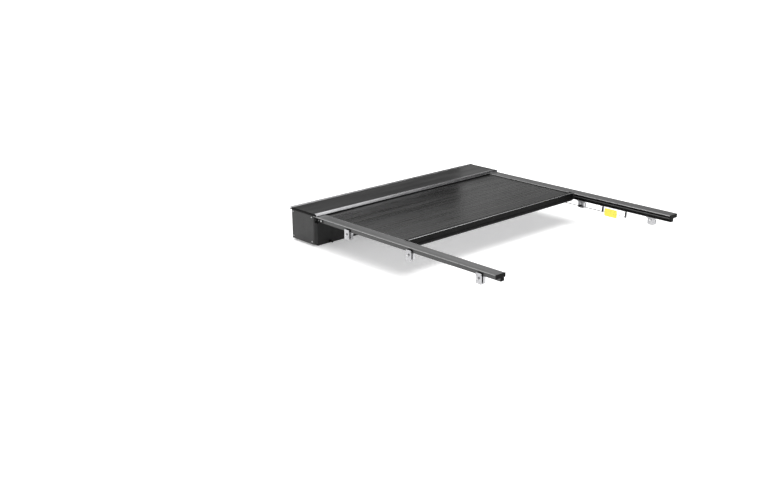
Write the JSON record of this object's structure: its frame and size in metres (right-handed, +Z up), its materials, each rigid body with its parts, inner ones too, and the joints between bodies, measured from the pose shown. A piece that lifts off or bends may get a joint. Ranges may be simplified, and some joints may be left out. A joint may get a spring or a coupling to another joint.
{
  "type": "tonneau cover",
  "caption": "Retractable slatted cover for a pickup bed, with its canister, motor-driven roller, side rails, clamps, leading bar and hand release.",
  "frame": {"origin": "under the middle of the cover's overall box, level with the underside of the canister", "axes": "+X to the right of the truck, +Y forward to the cab along the rails, +Z up"},
  "size_m": [1.668, 1.75, 0.217],
  "materials": {
    "rail_paint": "textured black powder coat over extruded aluminium, inner edge worn bright",
    "black_plastic": "moulded black plastic, fine grain",
    "glide_plastic": "smooth dark low-friction plastic",
    "seal_rubber": "matt black rubber",
    "clamp_metal": "bare satin aluminium",
    "jaw_metal": "bare satin aluminium, duller",
    "fastener_steel": "zinc-plated steel",
    "canister_paint": "black powder coat on folded aluminium sheet",
    "lid_vinyl": "black grained vinyl, low sheen",
    "curtain_vinyl": "charcoal grained vinyl with faint cross lines from the slats",
    "slat_metal": "mill-finish aluminium",
    "nose_metal": "satin anodised aluminium",
    "trim_metal": "bright satin aluminium",
    "bar_paint": "black powder coat over extruded aluminium",
    "tube_metal": "mill-finish aluminium tube",
    "roller_steel": "zinc-plated steel",
    "motor_paint": "dark grey paint",
    "sheath_plastic": "black plastic sheath",
    "cable_steel": "stainless steel",
    "tag_vinyl": "yellow plastic-coated fabric, blank"
  },
  "bodies": {
    "frame": {"rail_left": "rail_paint", "rail_right": "rail_paint", "rail_end_cap_left": "black_plastic", "rail_end_cap_right": "black_plastic", "end_cover_left": "black_plastic", "end_cover_right": "black_plastic", "lid_end_cap_left": "black_plastic", "lid_end_cap_right": "black_plastic", "control_case": "black_plastic", "control_lid": "black_plastic", "power_gland": "black_plastic", "mouth_guide": "black_plastic", "drain_spigots": "black_plastic", "cable_clips": "black_plastic", "rail_seal_left": "seal_rubber", "rail_seal_right": "seal_rubber", "mouth_wiper": "seal_rubber", "bulkhead_seal": "seal_rubber", "clamp_bodies_left": "clamp_metal", "clamp_bodies_right": "clamp_metal", "clamp_jaws_left": "jaw_metal", "clamp_jaws_right": "jaw_metal", "clamp_bolts": "fastener_steel", "clamp_nuts": "fastener_steel", "clamp_screws": "fastener_steel", "rail_joint_screws": "fastener_steel", "end_cover_screws": "fastener_steel", "canister_housing": "canister_paint", "bearing_plate_left": "canister_paint", "bearing_plate_right": "canister_paint", "lid_panel": "canister_paint", "cable_brackets": "canister_paint", "lid_skin": "lid_vinyl", "lid_nose": "nose_metal", "lid_front_trim": "trim_metal", "axle_bearing": "roller_steel", "motor": "motor_paint", "release_sheath": "sheath_plastic", "sheath_ferrules": "cable_steel", "wire_guide": "cable_steel"},
    "cover": {"leading_bar": "bar_paint", "bar_trim": "trim_metal", "bar_end_cap_left": "black_plastic", "bar_end_cap_right": "black_plastic", "glide_left": "glide_plastic", "glide_right": "glide_plastic", "tailgate_seal": "seal_rubber", "curtain_skin": "curtain_vinyl", "curtain_slats": "slat_metal"},
    "roller": {"roller_tube": "tube_metal", "idler_plug": "roller_steel", "drive_crown": "motor_paint", "motor_ring": "motor_paint", "curtain_roll": "curtain_vinyl"},
    "release": {"release_wire": "cable_steel", "wire_crimp": "cable_steel", "release_tag": "tag_vinyl"},
    "clutch_pull": {"clutch_wire": "cable_steel", "return_spring": "cable_steel"},
    "clutch_lever": {"clutch_lever": "roller_steel"}
  },
  "joints": [
    {"name": "cover_slide", "type": "slide", "parent": "frame", "child": "cover", "axis": [0, 1, 0], "range_m": [-0.728, 0.71], "deforming": ["curtain_skin", "curtain_slats"]},
    {"name": "roller_turn", "type": "hinge", "parent": "frame", "child": "roller", "pos_m": [0, 0.757, 0.125], "axis": [-1, 0, 0], "range_deg": [-756, 756]},
    {"name": "release_pull", "type": "slide", "parent": "frame", "child": "release", "axis": [0, -1, 0], "range_m": [0, 0.012], "stiffness_N_per_m": 600, "springref_m": -0.006},
    {"name": "clutch_pull", "type": "slide", "parent": "frame", "child": "clutch_pull", "axis": [0, -1, 0], "range_m": [0, 0.013], "deforming": ["return_spring"]},
    {"name": "clutch_turn", "type": "hinge", "parent": "frame", "child": "clutch_lever", "pos_m": [0.808, 0.757, 0.125], "axis": [1, 0, 0], "range_deg": [0, 23]}
  ],
  "couplings": [
    {"joint": "roller_turn", "follows": "cover_slide", "rad_per_m": 17.86},
    {"joint": "clutch_pull", "follows": "release_pull", "ratio": 1},
    {"joint": "clutch_turn", "follows": "release_pull", "rad_per_m": 30.9}
  ]
}
